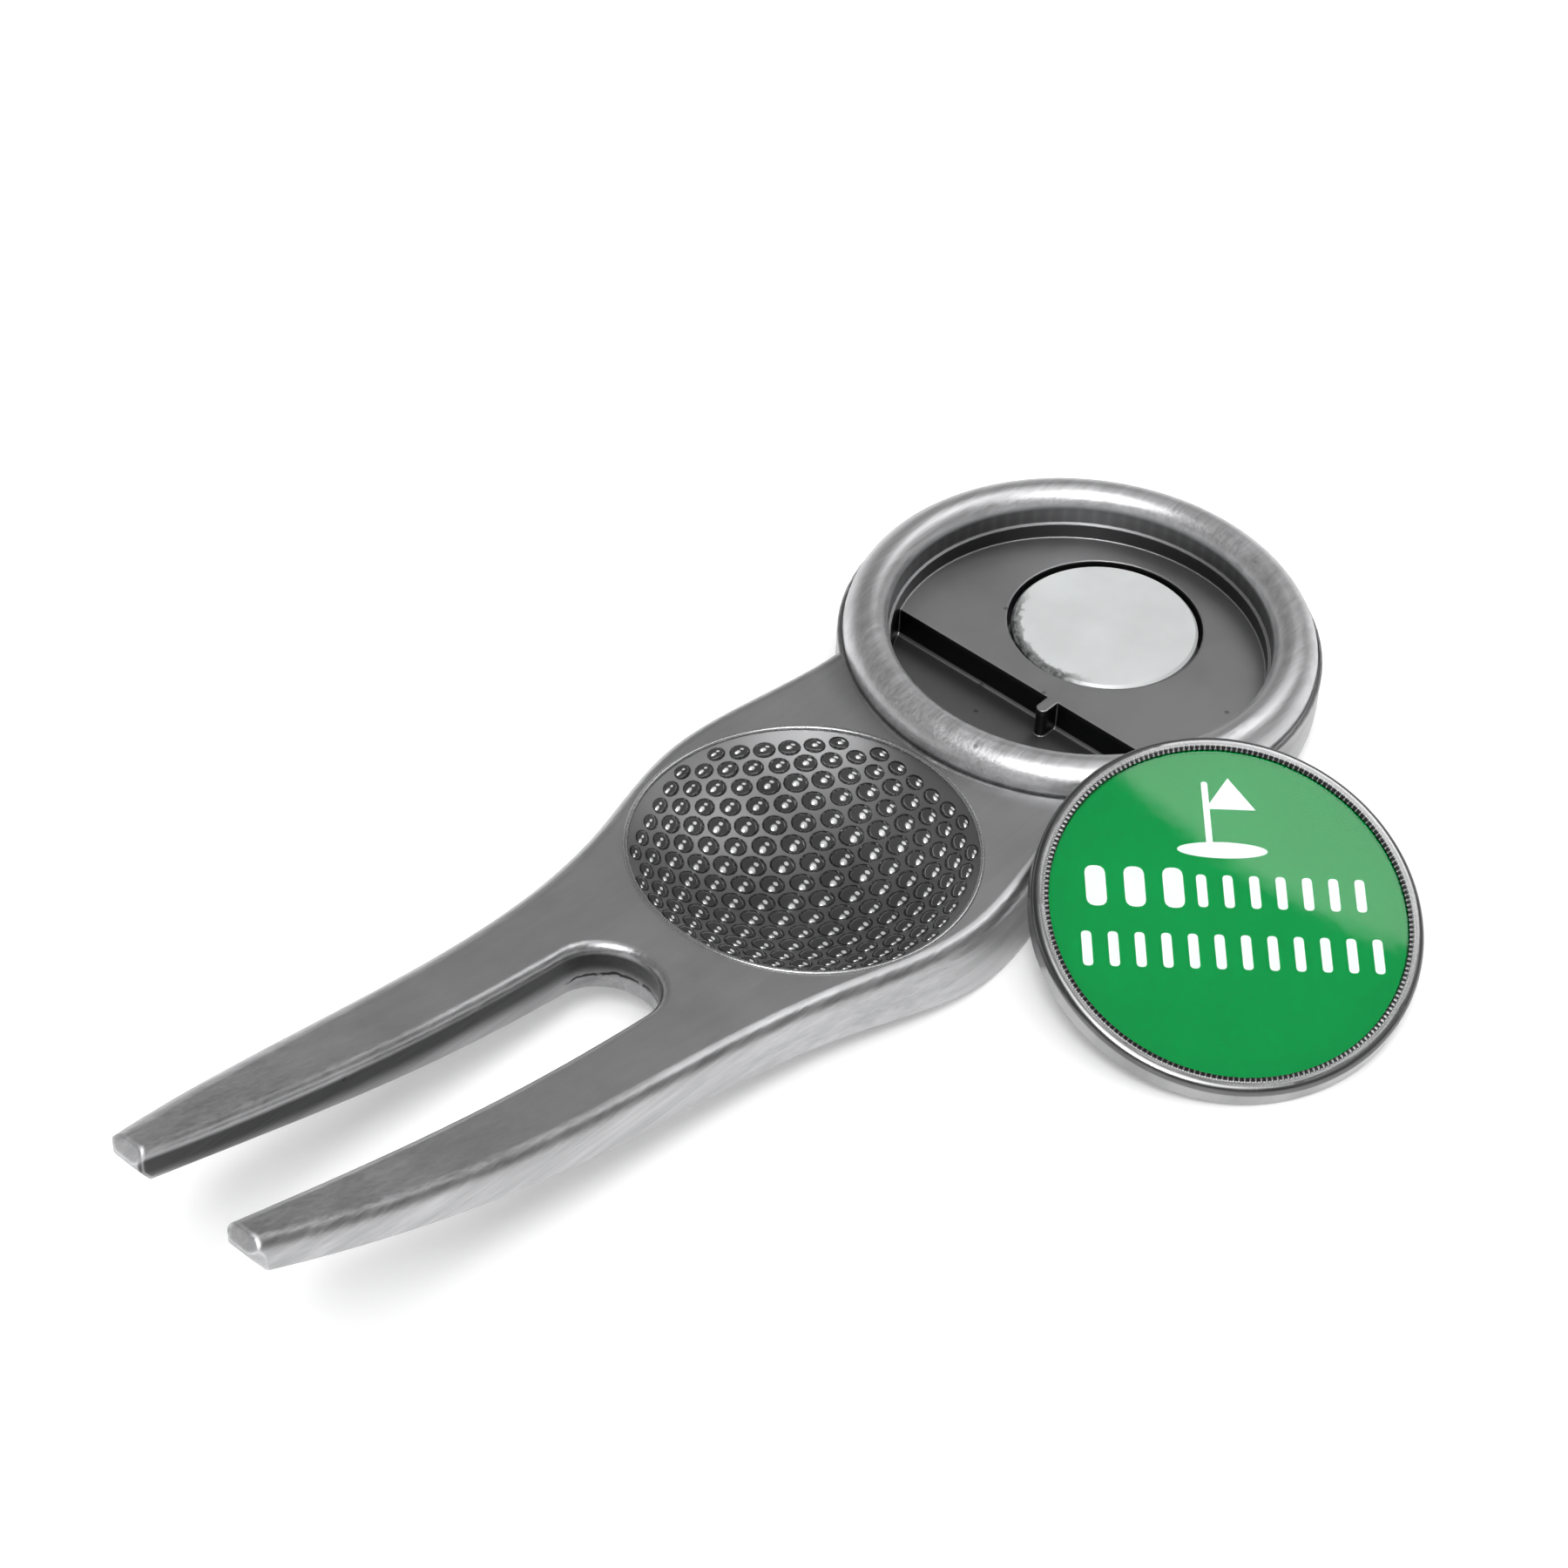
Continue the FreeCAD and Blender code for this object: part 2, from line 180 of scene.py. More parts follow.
class Bench:
    """Adds nodes to one tree and wires them up."""

    def __init__(self, tree):
        self.tree = tree

    def add(self, kind, **settings):
        node = self.tree.nodes.new(kind)
        for key, value in settings.items():
            setattr(node, key, value)
        return node

    def feed(self, socket, value):
        """Link a socket to a socket, or set its value."""
        if isinstance(value, bpy.types.NodeSocket):
            self.tree.links.new(value, socket)
        elif value is not None:
            socket.default_value = value

    def calc(self, op, a, b=None):
        node = self.add("ShaderNodeMath", operation=op)
        for socket, value in zip(node.inputs, (a, b)):
            self.feed(socket, value)
        return node.outputs[0]

    def plus(self, a, b):
        return self.calc("ADD", a, b)

    def minus(self, a, b):
        return self.calc("SUBTRACT", a, b)

    def times(self, first, *others):
        """All the values multiplied, from the left."""
        for other in others:
            first = self.calc("MULTIPLY", first, other)
        return first

    def length(self, a, b):
        squares = self.plus(self.calc("POWER", a, 2.0), self.calc("POWER", b, 2.0))
        return self.calc("POWER", squares, 0.5)

    def dim(self, tone, mask, share):
        """The tone, less this share of it where the mask is 1."""
        return self.times(tone, self.minus(1.0, self.times(mask, share)))

    def vector(self, op, a, b=None, scale=None):
        node = self.add("ShaderNodeVectorMath", operation=op)
        self.feed(node.inputs[0], a)
        if b is not None:
            self.feed(node.inputs[1], b)
        if scale is not None:
            self.feed(node.inputs["Scale"], scale)
        return node.outputs["Value" if op == "DOT_PRODUCT" else "Vector"]

    def ramp(self, value, low, high, from_value=0.0, to_value=1.0):
        """A smooth step from from_value at low to to_value at high."""
        node = self.add("ShaderNodeMapRange", interpolation_type="SMOOTHSTEP")
        for name, v in (
            ("Value", value),
            ("From Min", low),
            ("From Max", high),
            ("To Min", from_value),
            ("To Max", to_value),
        ):
            self.feed(node.inputs[name], v)
        return node.outputs["Result"]

    def fade(self, value, ends, from_value=0.0, to_value=1.0):
        """A ramp between two ends given in millimetres."""
        return self.ramp(value, ends[0] * MM, ends[1] * MM, from_value, to_value)

    def spread(self, noise, from_value, to_value):
        """The middle of a noise's range, stretched between two values."""
        return self.ramp(noise, 0.3, 0.7, from_value, to_value)

    def mixed(self, kind, factor, a, b):
        first, result = MIX_SOCKETS[kind]
        node = self.add("ShaderNodeMix", data_type=kind)
        self.feed(node.inputs[0], factor)
        self.feed(node.inputs[first], a)
        self.feed(node.inputs[first + 1], b)
        return node.outputs[result]

    def mix(self, factor, a, b):
        return self.mixed("RGBA", factor, a, b)

    def blend(self, factor, a, b):
        return self.mixed("FLOAT", factor, a, b)

    def noise(self, vector, scale, detail=2.0, rough=0.5):
        node = self.add("ShaderNodeTexNoise")
        self.feed(node.inputs["Vector"], vector)
        self.feed(node.inputs["Scale"], scale)
        self.feed(node.inputs["Detail"], detail)
        self.feed(node.inputs["Roughness"], rough)
        return node.outputs["Fac"]

    def bump(self, height, depth, base_normal=None):
        """A normal raised by the height; depth is in millimetres."""
        node = self.add("ShaderNodeBump")
        node.inputs["Strength"].default_value = 1.0
        node.inputs["Distance"].default_value = depth * MM
        self.feed(node.inputs["Height"], height)
        self.feed(node.inputs["Normal"], base_normal)
        return node.outputs[0]

    def place(self):
        return self.add("ShaderNodeTexCoord").outputs["Object"]

    def normal(self):
        return self.add("ShaderNodeNewGeometry").outputs["Normal"]

    def split(self, vector):
        node = self.add("ShaderNodeSeparateXYZ")
        self.feed(node.inputs[0], vector)
        return node.outputs[0], node.outputs[1], node.outputs[2]

    def join(self, x, y, z):
        node = self.add("ShaderNodeCombineXYZ")
        for socket, value in zip(node.inputs, (x, y, z)):
            self.feed(socket, value)
        return node.outputs[0]

    def use(self, group, **inputs):
        node = self.add("ShaderNodeGroup")
        node.node_tree = group
        for name, value in inputs.items():
            self.feed(node.inputs[name.replace("_", " ")], value)
        return node.outputs


def new_group(name, inputs, outputs):
    """A node group of these sockets: the tree, its bench, what it is given and what it returns."""
    tree = bpy.data.node_groups.new(name, "ShaderNodeTree")
    for label, value in inputs:
        socket = tree.interface.new_socket(label, in_out="INPUT", socket_type="NodeSocketFloat")
        socket.default_value = value
    for label, kind in outputs:
        tree.interface.new_socket(label, in_out="OUTPUT", socket_type="NodeSocket" + kind)
    b = Bench(tree)
    return tree, b, b.add("NodeGroupInput").outputs, b.add("NodeGroupOutput").inputs


def make_brush_group():
    """Fine lines left by brushing along the tool's length."""
    tree, b, given, result = new_group(
        "lengthwise_brush",
        [("Lines per metre", 5200.0), ("Runs per metre", 130.0)],
        [("Lines", "Float"), ("Soft bands", "Float")],
    )
    x, y, z = b.split(b.place())
    across = b.times(y, given["Lines per metre"])
    upward = b.times(z, given["Lines per metre"])
    along = b.times(x, given["Runs per metre"])
    streaks = b.join(along, across, upward)
    b.feed(result["Lines"], b.noise(streaks, 1.0, 3.0, 0.6))
    b.feed(result["Soft bands"], b.noise(b.vector("SCALE", streaks, scale=0.22), 1.0, 2.0, 0.55))
    return tree


def make_grain_group():
    """Tiny pits and grain of cast and plated metal, with rare dark specks."""
    tree, b, given, result = new_group(
        "cast_grain",
        [("Grains per metre", 7000.0), ("Specks per metre", 420.0), ("Speck size", 0.09)],
        [("Grain", "Float"), ("Specks", "Float"), ("Cloud", "Float")],
    )
    place = b.place()
    b.feed(result["Grain"], b.noise(place, given["Grains per metre"], 2.0, 0.6))
    cells = b.add("ShaderNodeTexVoronoi", feature="F1")
    b.feed(cells.inputs["Vector"], place)
    b.feed(cells.inputs["Scale"], given["Specks per metre"])
    wanted = b.ramp(b.split(cells.outputs["Color"])[0], 0.72, 0.76)
    full_size = b.times(given["Speck size"], 0.5)
    near = b.ramp(cells.outputs["Distance"], given["Speck size"], full_size)
    b.feed(result["Specks"], b.times(near, wanted))
    b.feed(result["Cloud"], b.noise(place, 160.0, 3.0, 0.5))
    return tree


def make_edge_group():
    """How near a point is to a sharp edge, and a normal that rounds that edge off."""
    tree, b, given, result = new_group(
        "edge_wear_and_sheen",
        [("Radius", 0.18 * MM)],
        [("Edge", "Float"), ("Rounded normal", "Vector")],
    )
    bevel = b.add("ShaderNodeBevel", samples=6)
    b.feed(bevel.inputs["Radius"], given["Radius"])
    turn = b.vector("DOT_PRODUCT", bevel.outputs[0], b.normal())
    b.feed(result["Edge"], b.ramp(turn, 0.995, 0.9))
    b.feed(result["Rounded normal"], bevel.outputs[0])
    return tree


brush_group = make_brush_group()
grain_group = make_grain_group()
edge_group = make_edge_group()


def new_material(name):
    """An empty material: the material, its bench and its surface node."""
    material = bpy.data.materials.new(name)
    material.use_nodes = True
    material.node_tree.nodes.clear()
    b = Bench(material.node_tree)
    b.out = b.add("ShaderNodeOutputMaterial")
    skin = b.add("ShaderNodeBsdfPrincipled")
    b.feed(b.out.inputs["Surface"], skin.outputs[0])
    return material, b, skin


def feed_metal(b, skin, tone, blue=1.01):
    """Grey metal of this tone, with a little more blue."""
    b.feed(skin.inputs["Base Color"], b.join(tone, tone, b.times(tone, blue)))
    skin.inputs["Metallic"].default_value = 1.0


# ---- the tool's materials --------------------------------------------------------
def make_tool_metal():
    """Satin grey plated casting: brushed outside, plain and duller in the cup and the dish."""
    material, b, skin = new_material("satin_tool_metal")
    x, y, z = b.split(b.place())
    normal_z = b.split(b.normal())[2]
    brush = b.use(brush_group)
    grain = b.use(grain_group)
    edges = b.use(edge_group, Radius=b.fade(x, TIP_ROUND_X, 0.18 * MM, 0.42 * MM))

    # what each point is part of
    from_cup = b.length(x, y)
    from_dish = b.length(b.minus(x, DISH_X * MM), y)
    before_slot = b.calc("MINIMUM", b.minus(x, (SLOT_END_X + SLOT_HALF) * MM), 0.0)
    from_slot = b.length(before_slot, y)
    in_cup = b.times(b.fade(from_cup, CUP_INSIDE_R), b.fade(z, CUP_INSIDE_Z))
    in_dish = b.fade(from_dish, DISH_INSIDE_R)
    in_slot = b.fade(from_slot, SLOT_INSIDE_R)
    low_floor = b.times(b.fade(z, LOW_FLOOR_Z), b.fade(x, LOW_FLOOR_X))
    on_neck = b.fade(from_cup, NECK_R)
    on_bead = b.times(b.minus(1.0, on_neck), b.fade(z, BEAD_Z), b.minus(1.0, in_cup))
    facing_up = b.ramp(normal_z, 0.93, 0.985)
    upright = b.ramp(b.calc("ABSOLUTE", normal_z), 0.6, 0.35)

    # the brushing, which the cup, the dish and the top of the neck hardly have
    plain = b.calc("MAXIMUM", in_cup, in_dish)
    quiet = b.calc("MAXIMUM", plain, b.times(facing_up, on_neck, 0.8))
    lines = b.blend(quiet, brush["Lines"], 0.5)
    bands = b.blend(quiet, brush["Soft bands"], 0.5)

    # the tone: outside, cup, bead and dish
    tone = b.plus(b.ramp(bands, 0.25, 0.75, 0.39, 0.5), b.ramp(lines, 0.2, 0.8, -0.05, 0.05))
    tone = b.times(tone, b.spread(grain["Cloud"], 0.93, 1.05))
    tone = b.blend(in_cup, tone, b.spread(grain["Cloud"], 0.36, 0.42))
    # painted shade: the cup's low floor is darkened by half
    tone = b.dim(tone, b.times(in_cup, low_floor), 0.5)
    tone = b.plus(tone, b.times(on_bead, 0.16))
    tone = b.blend(in_dish, tone, b.spread(grain["Cloud"], 0.21, 0.26))
    # painted shade: the cup's upright inner walls are darkened most of the way
    tone = b.dim(tone, b.times(in_cup, upright), 0.88)

    # the slot's walls, darker below the prongs' top
    along = b.minus(x, (DISH_X + DISH_R) * MM)
    sweep = b.plus(PRONG_TOP_SLOPE, b.times(along, PRONG_TOP_CURVE))
    top_z = b.plus(b.times(along, sweep), PRONG_TOP_Z * MM)
    below_top = b.minus(top_z, z)
    foot_shade = b.fade(below_top, SLOT_SHADE_FOOT, 0.35, 1.0)
    slot_shade = b.times(b.fade(below_top, SLOT_SHADE_TOP), foot_shade)
    tone = b.dim(tone, b.times(in_slot, slot_shade), 0.9)

    # the parting line in the slot's round end
    wander = b.noise(b.place(), 900.0)
    seam_z = b.plus(SEAM_Z * MM, b.times(b.minus(wander, 0.5), SEAM_WANDER * MM))
    off_seam = b.calc("ABSOLUTE", b.minus(z, seam_z))
    seam = b.times(b.fade(off_seam, SEAM_HALF), b.fade(x, SEAM_X), in_slot)
    tone = b.dim(tone, b.times(seam, b.ramp(wander, 0.3, 0.45)), 0.85)

    # painted shade at the bead's foot; edges lighter from worn plating with a painted highlight,
    # most at the prongs' ends; and specks
    tone = b.dim(tone, b.times(on_neck, b.fade(from_cup, BEAD_FOOT_R)), 0.3)
    tone = b.plus(tone, b.times(edges["Edge"], b.fade(x, TIP_WEAR_AND_SHEEN_X, 0.16, 0.42)))
    tone = b.dim(tone, grain["Specks"], 0.45)
    feed_metal(b, skin, tone, blue=1.015)

    rough = b.plus(b.ramp(lines, 0.2, 0.8, 0.27, 0.40), b.times(quiet, 0.08))
    b.feed(skin.inputs["Roughness"], b.plus(rough, b.times(on_bead, 0.08)))
    height = b.plus(lines, b.times(grain["Grain"], 0.35))
    b.feed(skin.inputs["Normal"], b.bump(height, 0.012, edges["Rounded normal"]))
    return material


def make_plain_metal(name, dark, bright, shiny, dull, depth):
    """Plating with a faint cloud and grain; depth is in millimetres."""
    material, b, skin = new_material(name)
    grain = b.use(grain_group)
    feed_metal(b, skin, b.spread(grain["Cloud"], dark, bright))
    b.feed(skin.inputs["Roughness"], b.spread(grain["Grain"], shiny, dull))
    b.feed(skin.inputs["Normal"], b.bump(grain["Grain"], depth))
    return material


def make_magnet_metal():
    """Dull bright nickel, cloudy, with chips along one side of the rim."""
    material, b, skin = new_material("magnet_nickel")
    place = b.place()
    x, y = b.split(place)[:2]
    grain = b.use(grain_group, Specks_per_metre=520.0, Speck_size=0.10)
    off_x = b.minus(x, MAGNET_X * MM)
    off_y = b.minus(y, MAGNET_Y * MM)
    ragged = b.noise(place, 1500.0, 3.0, 0.6)
    eaten = b.times(b.minus(ragged, 0.5), MAGNET_RAGGED * MM)
    rim = b.fade(b.plus(b.length(off_x, off_y), eaten), MAGNET_RIM_R)
    way = b.vector("NORMALIZE", b.join(off_x, off_y, 0.0))
    chipped = b.times(rim, b.ramp(b.vector("DOT_PRODUCT", way, CHIP_WAY), 0.5, 0.85))
    tone = b.ramp(grain["Cloud"], 0.25, 0.75, 0.68, 0.80)
    tone = b.dim(tone, grain["Specks"], 0.6)
    tone = b.blend(chipped, tone, b.ramp(ragged, 0.35, 0.65, 0.10, 0.42))
    b.feed(skin.inputs["Base Color"], b.join(b.times(tone, 0.975), tone, tone))
    b.feed(skin.inputs["Metallic"], b.blend(chipped, 0.25, 0.7))
    b.feed(skin.inputs["Roughness"], b.spread(grain["Grain"], 0.42, 0.55))
    height = b.minus(b.times(grain["Grain"], 0.3), b.times(chipped, ragged))
    b.feed(skin.inputs["Normal"], b.bump(height, 0.03))
    return material


def make_adhesive():
    """Dried clear glue, a little yellow; out of sight under the magnet."""
    material, b, skin = new_material("adhesive_disc")
    grain = b.use(grain_group)
    color = b.mix(grain["Grain"], (0.45, 0.42, 0.33, 1.0), (0.62, 0.6, 0.5, 1.0))
    b.feed(skin.inputs["Base Color"], color)
    skin.inputs["Roughness"].default_value = 0.7
    return material


# ---- the marker's own flat frame and its materials ---------------------------------
def marker_frame():
    """Middle of the printed face, its right, its up and its outward direction."""
    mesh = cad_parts["marker_print"].data
    face_way = Vector((0, 0, 0))
    for face in mesh.polygons:
        if face.normal.z > 0.5:
            face_way += face.normal * face.area
    face_way.normalize()
    reach = max(v.co.dot(face_way) for v in mesh.vertices)
    rim = [v.co for v in mesh.vertices if v.co.dot(face_way) > reach - 1e-6]
    low = Vector([min(p[i] for p in rim) for i in range(3)])
    high = Vector([max(p[i] for p in rim) for i in range(3)])
    middle = (low + high) / 2
    from_above = Vector(PRINT_RIGHT)
    right = (from_above - face_way * from_above.dot(face_way)).normalized()
    right = Matrix.Rotation(math.radians(PRINT_TURN), 3, face_way) @ right
    up = face_way.cross(right).normalized()
    return middle, right, up, face_way


MARKER_MIDDLE, MARKER_RIGHT, MARKER_UP, MARKER_OUT = marker_frame()


def make_marker_metal():
    """Bright plated disc; the step inside its rim is finely serrated, with painted shade darkening
    it; the rim's outer shoulder carries a painted dark reflection, and its edges are lighter from
    worn plating with a painted highlight.
    """
    material, b, skin = new_material("marker_plating")
    off = b.vector("SUBTRACT", b.place(), tuple(MARKER_MIDDLE))
    across, upward, outward = [
        b.vector("DOT_PRODUCT", off, tuple(way)) for way in (MARKER_RIGHT, MARKER_UP, MARKER_OUT)
    ]
    radius = b.length(across, upward)
    angle = b.calc("ARCTAN2", upward, across)
    grain = b.use(grain_group, Specks_per_metre=700.0)
    edges = b.use(edge_group, Radius=0.12 * MM)
    teeth = b.calc("SINE", b.times(angle, MARKER_TEETH))
    step = b.fade(radius, MARKER_STEP_R)
    shoulder = b.times(b.fade(radius, MARKER_SHOULDER_R), b.fade(outward, MARKER_SHOULDER_UP))
    around = b.noise(b.join(b.times(radius, 9000.0), b.times(angle, 3.0), 0.0), 1.0)
    # edges lighter: worn plating with a painted highlight
    tone = b.plus(b.spread(around, 0.30, 0.42), b.times(edges["Edge"], 0.18))
    tone = b.dim(tone, grain["Specks"], 0.35)
    # painted reflection: the rim's outer shoulder is darkened, mirroring dark surroundings
    tone = b.dim(tone, shoulder, 0.6)
    # painted shade: the serrated step inside the rim is made nearly black
    tone = b.blend(step, tone, b.ramp(teeth, -0.4, 0.6, 0.03, 0.22))
    feed_metal(b, skin, tone)
    b.feed(skin.inputs["Roughness"], b.ramp(around, 0.2, 0.8, 0.16, 0.28))
    height = b.plus(b.times(grain["Grain"], 0.3), b.times(teeth, step, 2.0))
    b.feed(skin.inputs["Normal"], b.bump(height, 0.01, edges["Rounded normal"]))
    return material


def make_print_green():
    """Printed insert: flat green ink with the faint mottle of a screen print."""
    material, b, skin = new_material("green_ink")
    grain = b.use(grain_group, Grains_per_metre=9000.0)
    shade = b.plus(b.times(grain["Cloud"], 0.5), b.times(grain["Grain"], 0.5))
    color = b.mix(shade, (0.0, 0.225, 0.045, 1.0), (0.0, 0.275, 0.062, 1.0))
    b.feed(skin.inputs["Base Color"], color)
    skin.inputs["Specular IOR Level"].default_value = 0.0
    b.feed(skin.inputs["Roughness"], b.spread(grain["Grain"], 0.45, 0.6))
    b.feed(skin.inputs["Normal"], b.bump(grain["Grain"], 0.004))
    return material


def make_white_ink():
    """White ink with the same fine grain."""
    material, b, skin = new_material("white_ink")
    grain = b.use(grain_group, Grains_per_metre=9000.0)
    color = b.mix(grain["Grain"], (0.80, 0.85, 0.88, 1.0), (0.92, 0.95, 0.97, 1.0))
    b.feed(skin.inputs["Base Color"], color)
    b.feed(skin.inputs["Roughness"], b.spread(grain["Grain"], 0.4, 0.55))
    return material


def make_clear_resin():
    """Clear resin dome: glass to the eye, open to the lamps."""
    material, b, skin = new_material("clear_resin")
    grain = b.use(grain_group, Grains_per_metre=900.0)
    skin.inputs["Base Color"].default_value = (0.97, 1.0, 0.98, 1.0)
    skin.inputs["Transmission Weight"].default_value = 1.0
    skin.inputs["IOR"].default_value = 1.5
    b.feed(skin.inputs["Roughness"], b.spread(grain["Grain"], 0.015, 0.03))

    # on the crown, normals follow the ball it is part of, so its facets do not show
    crown_r = ((RESIN_R ** 2 + RESIN_CROWN ** 2) / (2 * RESIN_CROWN)) * MM
    crown_centre = MARKER_MIDDLE + MARKER_OUT * (RESIN_RISE * MM - crown_r)
    ball_way = b.vector("NORMALIZE", b.vector("SUBTRACT", b.place(), tuple(crown_centre)))
    to_world = b.add(
        "ShaderNodeVectorTransform", vector_type="NORMAL", convert_from="OBJECT", convert_to="WORLD"
    )
    b.feed(to_world.inputs[0], ball_way)
    ball_normal = to_world.outputs[0]
    own_normal = b.normal()
    lined_up = b.vector("DOT_PRODUCT", own_normal, ball_normal)
    on_crown = b.calc("GREATER_THAN", lined_up, 0.98)
    smooth = b.mixed("VECTOR", on_crown, own_normal, ball_normal)
    b.feed(skin.inputs["Normal"], b.bump(grain["Cloud"], 0.01, smooth))

    clear = b.add("ShaderNodeBsdfTransparent")
    choose = b.add("ShaderNodeMixShader")
    b.feed(choose.inputs[0], b.add("ShaderNodeLightPath").outputs["Is Shadow Ray"])
    b.feed(choose.inputs[1], skin.outputs[0])
    b.feed(choose.inputs[2], clear.outputs[0])
    b.feed(b.out.inputs["Surface"], choose.outputs[0])
    return material


# ---- dish pips and lip ---------------------------------------------------------------
def bowl_z(x, y):
    """Height of the dish's floor, in millimetres."""
    out = (x - DISH_X) ** 2 + y ** 2
    ball_z = DISH_RIM_Z + math.sqrt(BALL_R ** 2 - DISH_R ** 2)
    return ball_z - math.sqrt(BALL_R ** 2 - out)


def pip_spots():
    """Where each pip stands in plan, which way is outward from there, and how far it is pressed.

    The rows close up towards the rim, as they do on a ball.
    """
    spots = []
    row_gap = PIP_PITCH * math.sin(math.radians(60))
    turn = math.radians(PIP_ROW_TURN)
    for row in range(-PIP_ROWS, PIP_ROWS + 1):
        for step in range(-PIP_ROWS, PIP_ROWS + 1):
            along = (step + 0.5 * (row % 2)) * PIP_PITCH
            across = row * row_gap
            bend = math.hypot(along, across) / PIP_BALL_R
            plan_r = PIP_BALL_R * math.sin(bend)
            if bend > math.pi / 2 or plan_r > PIP_LIMIT_R:
                continue
            way = math.atan2(across, along) + turn
            x = DISH_X + plan_r * math.cos(way)
            spots.append((x, plan_r * math.sin(way), way, math.cos(bend)))
    return spots


def make_pip():
    """One domed pip, with its foot a little under the surface it stands on."""
    deselect()
    ball_r = (PIP_R ** 2 + PIP_RISE ** 2) / (2 * PIP_RISE)
    bpy.ops.mesh.primitive_uv_sphere_add(
        segments=14, ring_count=14, radius=ball_r * MM, location=(0, 0, (PIP_RISE - ball_r) * MM)
    )
    pip = apply_place()
    bpy.ops.object.mode_set(mode="EDIT")
    bpy.ops.mesh.select_all(action="SELECT")
    bpy.ops.mesh.bisect(
        plane_co=(0, 0, -PIP_FOOT * MM), plane_no=(0, 0, 1), use_fill=True, clear_inner=True
    )
    bpy.ops.object.mode_set(mode="OBJECT")
    bpy.ops.object.shade_smooth()
    return pip


def make_pips():
    """All the pips: smaller, closer and pressed together towards the rim."""
    first = make_pip()
    chance = random.Random(7)
    pips = []
    for x, y, way, squeeze in pip_spots():
        copy = own_copy(first)
        slope = math.asin(math.hypot(x - DISH_X, y) / BALL_R)
        size = 1.0 - PIP_SHRINK * (1.0 - squeeze) + chance.uniform(-PIP_SPREAD, PIP_SPREAD)
        narrow = size * max(squeeze, 0.5) ** PIP_FLATTEN
        shape = Matrix.Diagonal((narrow, size, size ** PIP_RISE_POWER, 1.0))
        lean = Matrix.Rotation(-slope, 4, "Y")
        swing = Matrix.Rotation(way, 4, "Z")
        move = Matrix.Translation(Vector((x, y, bowl_z(x, y))) * MM)
        copy.data.transform(move @ swing @ lean @ shape)
        pips.append(copy)
    bpy.data.objects.remove(first)
    joined = join_all(pips)
    joined.name = "dish_pips"
    paint(joined, make_plain_metal("polished_pips", 0.17, 0.25, 0.03, 0.06, 0.004))
    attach(joined, "tool")


def make_lip():
    """The fine bright line round the dish's edge, lifted at the slot and at the head."""
    deselect()
    bpy.ops.curve.primitive_bezier_circle_add(
        radius=(DISH_R + 0.02) * MM, location=(DISH_X * MM, 0, (DISH_RIM_Z - LIP_SUNK) * MM)
    )
    lip = apply_place()
    bpy.ops.object.mode_set(mode="EDIT")
    for corner in lip.data.splines[0].bezier_points:
        off = corner.co.x / MM - DISH_X
        if abs(off) < 1:
            continue
        bpy.ops.curve.select_all(action="DESELECT")
        corner.select_control_point = True
        corner.select_left_handle = True
        corner.select_right_handle = True
        lift = LIP_LIFT_SLOT if off > 0 else LIP_LIFT_HEAD
        bpy.ops.transform.translate(value=(0, 0, lift * MM))
    bpy.ops.object.mode_set(mode="OBJECT")
    lip.data.bevel_depth = LIP_R * MM
    lip.data.bevel_resolution = 2
    lip.data.resolution_u = 20
    bpy.ops.object.convert(target="MESH")
    lip = bpy.context.object
    bpy.ops.object.shade_smooth()
    lip.name = "dish_lip"
    paint(lip, make_plain_metal("worn_dish_lip", 0.40, 0.52, 0.24, 0.36, 0.006))
    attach(lip, "tool")


# ---- printed motif -------------------------------------------------------------------
def lay_on_marker(obj):
    """Carry a piece drawn flat about the origin, in metres, to the printed face."""
    turn = Matrix((MARKER_RIGHT, MARKER_UP, MARKER_OUT)).transposed().to_4x4()
    obj.data.transform(Matrix.Translation(MARKER_MIDDLE) @ turn)


def stretch(factors, centre):
    """Scale all of the active mesh about a point."""
    bpy.ops.object.mode_set(mode="EDIT")
    bpy.ops.mesh.select_all(action="SELECT")
    bpy.ops.transform.resize(value=factors, center_override=centre)
    bpy.ops.object.mode_set(mode="OBJECT")


def ink_disc(x, y, wide, tall, sides):
    """A thin printed disc of so many sides, in millimetres."""
    deselect()
    spot = (x * MM, y * MM, INK_LIFT * MM)
    bpy.ops.mesh.primitive_cylinder_add(
        vertices=sides, radius=0.5 * MM, depth=INK_THICK * MM, location=spot
    )
    disc = apply_place()
    stretch((wide, tall, 1.0), spot)
    return disc


def ink_block(x, y, wide, tall):
    """A thin printed block, in millimetres: its corners are rounded, then it is pressed flat."""
    deselect()
    spot = (x * MM, y * MM, INK_LIFT * MM)
    bpy.ops.mesh.primitive_cube_add(size=MM, location=spot)
    block = apply_place()
    stretch((wide, tall, wide), spot)
    round_off = block.modifiers.new("round_off", "BEVEL")
    round_off.width = INK_ROUND * min(wide, tall) * MM
    round_off.segments = 3
    bpy.ops.object.modifier_apply(modifier="round_off")
    stretch((1.0, 1.0, INK_THICK / wide), spot)
    return block


def row_of_blocks(x0, x1, y, tall, thick, count):
    """A row of plain upright blocks, standing in for a printed word: one block and its copies."""
    gap = (x1 - x0 - thick) / (count - 1)
    blocks = [ink_block(x0 + thick / 2, y, thick, tall)]
    for i in range(1, count):
        copy = own_copy(blocks[0])
        copy.data.transform(Matrix.Translation((gap * i * MM, 0, 0)))
        blocks.append(copy)
    return blocks


def make_print_face():
    """The green face of the insert: a thin disc of ink over it."""
    deselect()
    bpy.ops.mesh.primitive_cylinder_add(
        vertices=96, radius=FACE_R * MM, depth=INK_THICK * MM, location=(0, 0, FACE_LIFT * MM)
    )
    face = apply_place()
    face.name = "printed_face"
    lay_on_marker(face)
    paint(face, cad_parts["marker_print"].material_slots[0].material)
    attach(face, "marker")


